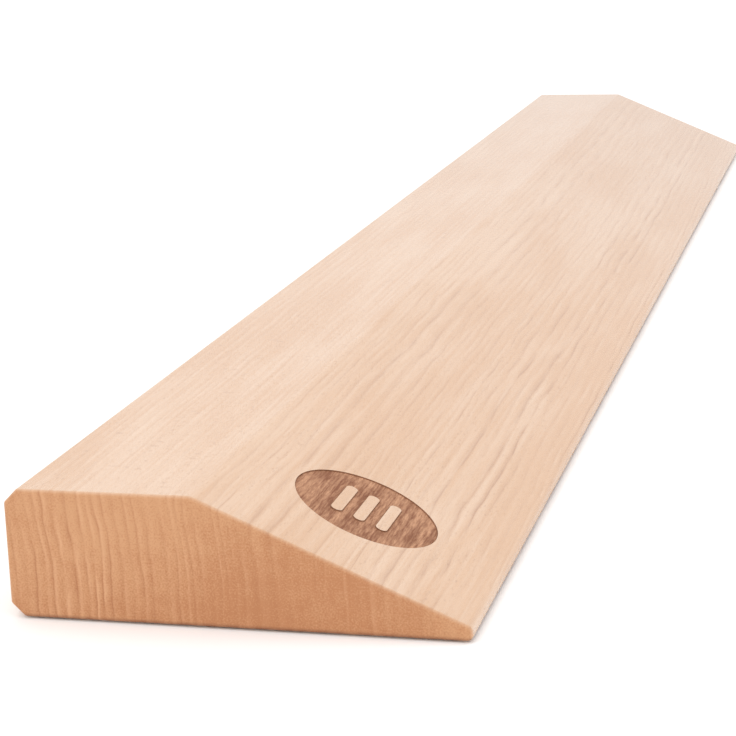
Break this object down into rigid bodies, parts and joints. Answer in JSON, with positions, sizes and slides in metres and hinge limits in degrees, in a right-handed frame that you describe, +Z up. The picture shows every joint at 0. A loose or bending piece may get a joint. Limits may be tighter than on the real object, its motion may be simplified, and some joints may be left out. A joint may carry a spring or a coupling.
{
  "type": "floor balance beam",
  "caption": "Low wooden floor beam with a flat shoulder, one long sloping face and a thin toe, on thin round anti-slip pads.",
  "frame": {"origin": "on the surface that the pads stand on, under the middle of the beam's box", "axes": "+X from the upright side to the thin toe, +Y along the beam from the front end, which has the burned mark, to the back end, +Z up"},
  "size_m": [0.15, 1, 0.043],
  "materials": {
    "beech": "fine-sanded pale beech with a thin satin oil, darker on the end grain",
    "pad_rubber": "matt black"
  },
  "bodies": {
    "root": {"beech_beam": "beech", "pad_front_left": "pad_rubber", "pad_front_right": "pad_rubber", "pad_middle_left": "pad_rubber", "pad_middle_right": "pad_rubber", "pad_back_left": "pad_rubber", "pad_back_right": "pad_rubber"}
  },
  "joints": []
}
